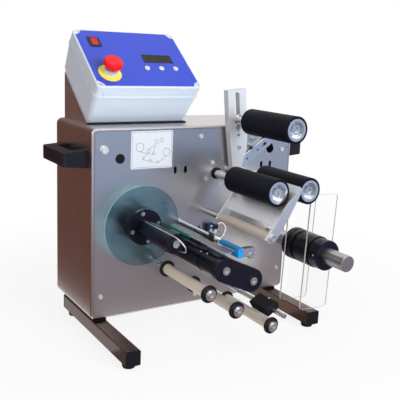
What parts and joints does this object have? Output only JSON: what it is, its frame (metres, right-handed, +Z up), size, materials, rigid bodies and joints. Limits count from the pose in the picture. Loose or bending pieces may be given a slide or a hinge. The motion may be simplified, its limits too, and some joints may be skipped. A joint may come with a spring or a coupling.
{
  "type": "bottle labelling machine",
  "caption": "Tabletop semi-automatic bottle labeller: stainless cabinet, tilted control box, rollers for the bottle, web path, rewinder and label-roll holder.",
  "frame": {"origin": "bottom centre of the bounding box, on the bench", "axes": "+Z up, -Y towards the operator, +X to the operator's right"},
  "size_m": [0.602, 0.4766, 0.6313],
  "materials": {
    "stainless": "brushed stainless sheet",
    "frame_steel": "zinc plated sheet",
    "black_plastic": "black moulded or hard-coated",
    "black_rubber": "ground matte rubber",
    "console_plastic": "light grey moulded case",
    "blue_panel": "printed blue film",
    "yellow_plastic": "printed yellow ring",
    "red_plastic": "glossy red",
    "white_plastic": "white",
    "turned_steel": "turned bright steel",
    "aluminium_parts": "satin aluminium",
    "motor_paint": "black enamel",
    "clear_acrylic": "clear acrylic sheet",
    "beige_plastic": "natural engineering plastic",
    "green_plastic": "green edge trim",
    "blue_plastic": "blue sensor case"
  },
  "bodies": {
    "machine": {"cabinet_shell": "stainless", "front_plate": "stainless", "inner_frame": "frame_steel", "rear_cover": "stainless", "leg_tubes": "stainless", "black_fittings": "black_rubber", "handles": "black_plastic", "console_bracket": "stainless", "console_base": "console_plastic", "console_lid": "console_plastic", "console_panel": "blue_panel", "display_board": "black_plastic", "stop_collar": "yellow_plastic", "stop_body": "black_plastic", "power_fittings": "black_plastic", "motor": "motor_paint", "belts": "black_rubber", "bearing_housings": "aluminium_parts", "roller_carrier": "black_plastic", "fixed_axles": "turned_steel", "web_flanges": "black_plastic", "peel_levers": "aluminium_parts", "label_table": "stainless", "table_trim": "green_plastic", "terminal_block": "blue_plastic", "roll_shaft": "turned_steel", "diagram_plate": "white_plastic", "case_screws": "turned_steel", "arm_spring": "turned_steel"},
    "drive_roller": {"drive_shaft": "aluminium_parts", "drive_sleeve": "black_rubber"},
    "motor_rotor": {"motor_shaft": "turned_steel"},
    "traction_roller": {"traction_shaft": "turned_steel", "traction_sleeve": "black_rubber"},
    "rewind_drive": {"rewind_pulley": "aluminium_parts"},
    "rewinder": {"rewind_shaft": "turned_steel", "rewind_disc": "clear_acrylic", "rewind_mandrel": "black_plastic"},
    "guide": {"guide_roller": "black_rubber"},
    "support_roller": {"support_core": "aluminium_parts", "support_sleeve": "black_rubber"},
    "web_tube_1": {"web_roller_1": "beige_plastic"},
    "web_tube_2": {"web_roller_2": "beige_plastic"},
    "web_tube_3": {"web_roller_3": "beige_plastic"},
    "peel_tube": {"peel_roller": "beige_plastic"},
    "label_roll_holder": {"roll_drum": "black_plastic", "roll_guides": "clear_acrylic"},
    "pressure_arm": {"arm_plate": "aluminium_parts", "arm_link": "turned_steel"},
    "top_roller_carriage": {"top_axle": "turned_steel"},
    "top_roller": {"top_core": "aluminium_parts", "top_sleeve": "black_rubber"},
    "stop_button": {"stop_head": "red_plastic"},
    "rocker": {"power_rocker": "red_plastic"},
    "key_1": {"key_left": "white_plastic"},
    "key_2": {"key_middle": "white_plastic"},
    "key_3": {"key_right": "white_plastic"},
    "sensor_carriage": {"sensor_clamp": "turned_steel", "sensor_fork": "blue_plastic"},
    "brake": {"brake_block": "black_plastic"}
  },
  "joints": [
    {"name": "drive_roller_spin", "type": "hinge", "parent": "machine", "child": "drive_roller", "pos_m": [0.043, -0.12731, 0.336], "axis": [0, 1, 0], "continuous": true},
    {"name": "motor_spin", "type": "hinge", "parent": "machine", "child": "motor_rotor", "pos_m": [-0.025, -0.12731, 0.292], "axis": [0, 1, 0], "continuous": true},
    {"name": "traction_spin", "type": "hinge", "parent": "machine", "child": "traction_roller", "pos_m": [-0.02, -0.12731, 0.174], "axis": [0, 1, 0], "continuous": true},
    {"name": "rewind_pulley_spin", "type": "hinge", "parent": "machine", "child": "rewind_drive", "pos_m": [-0.149, -0.12731, 0.242], "axis": [0, 1, 0], "continuous": true},
    {"name": "rewinder_spin", "type": "hinge", "parent": "machine", "child": "rewinder", "pos_m": [-0.149, -0.12731, 0.242], "axis": [0, 1, 0], "continuous": true},
    {"name": "guide_roller_spin", "type": "hinge", "parent": "machine", "child": "guide", "pos_m": [-0.084, -0.12731, 0.203], "axis": [0, 1, 0], "continuous": true},
    {"name": "support_roller_spin", "type": "hinge", "parent": "machine", "child": "support_roller", "pos_m": [0.122, -0.12731, 0.334], "axis": [0, 1, 0], "continuous": true},
    {"name": "web_roller_1_spin", "type": "hinge", "parent": "machine", "child": "web_tube_1", "pos_m": [-0.112, -0.12731, 0.15842], "axis": [0, 1, 0], "continuous": true},
    {"name": "web_roller_2_spin", "type": "hinge", "parent": "machine", "child": "web_tube_2", "pos_m": [-0.04691, -0.12731, 0.11526], "axis": [0, 1, 0], "continuous": true},
    {"name": "web_roller_3_spin", "type": "hinge", "parent": "machine", "child": "web_tube_3", "pos_m": [0.0398, -0.12731, 0.06761], "axis": [0, 1, 0], "continuous": true},
    {"name": "peel_roller_spin", "type": "hinge", "parent": "machine", "child": "peel_tube", "pos_m": [0.023, -0.12731, 0.252], "axis": [0, 1, 0], "continuous": true},
    {"name": "label_roll_spin", "type": "hinge", "parent": "machine", "child": "label_roll_holder", "pos_m": [0.206, -0.12731, 0.182], "axis": [0, 1, 0], "continuous": true},
    {"name": "pressure_arm_tilt", "type": "hinge", "parent": "machine", "child": "pressure_arm", "pos_m": [0.085, 0.00669, 0.342], "axis": [0, 1, 0], "range_deg": [0, 14], "stiffness_Nm_per_rad": 2, "springref_deg": -17.19, "deforming": ["arm_spring"]},
    {"name": "top_roller_height", "type": "slide", "parent": "pressure_arm", "child": "top_roller_carriage", "axis": [-0.1045, 0, 0.9945], "range_m": [-0.02, 0.05]},
    {"name": "top_roller_spin", "type": "hinge", "parent": "top_roller_carriage", "child": "top_roller", "pos_m": [0.07745, -0.12731, 0.45684], "axis": [0, 1, 0], "continuous": true},
    {"name": "stop_button_push", "type": "slide", "parent": "machine", "child": "stop_button", "axis": [0, 0.6101, -0.7923], "range_m": [0, 0.004], "stiffness_N_per_m": 500, "springref_m": -0.004},
    {"name": "power_rocker_tilt", "type": "hinge", "parent": "machine", "child": "rocker", "pos_m": [-0.195, 0.14938, 0.60474], "axis": [1, 0, 0], "range_deg": [-9, 9]},
    {"name": "key_left_push", "type": "slide", "parent": "machine", "child": "key_1", "axis": [0, 0.6101, -0.7923], "range_m": [0, 0.001], "stiffness_N_per_m": 300, "springref_m": -0.002},
    {"name": "key_middle_push", "type": "slide", "parent": "machine", "child": "key_2", "axis": [0, 0.6101, -0.7923], "range_m": [0, 0.001], "stiffness_N_per_m": 300, "springref_m": -0.002},
    {"name": "key_right_push", "type": "slide", "parent": "machine", "child": "key_3", "axis": [0, 0.6101, -0.7923], "range_m": [0, 0.001], "stiffness_N_per_m": 300, "springref_m": -0.002},
    {"name": "sensor_slide", "type": "slide", "parent": "machine", "child": "sensor_carriage", "axis": [0, 1, 0], "range_m": [0, 0.03]},
    {"name": "brake_slide", "type": "slide", "parent": "machine", "child": "brake", "axis": [0, 1, 0], "range_m": [-0.012, 0.03]}
  ],
  "couplings": [
    {"joint": "motor_spin", "follows": "drive_roller_spin", "ratio": 1.5},
    {"joint": "traction_spin", "follows": "drive_roller_spin", "ratio": 1.125},
    {"joint": "rewind_pulley_spin", "follows": "drive_roller_spin", "ratio": 0.75}
  ]
}
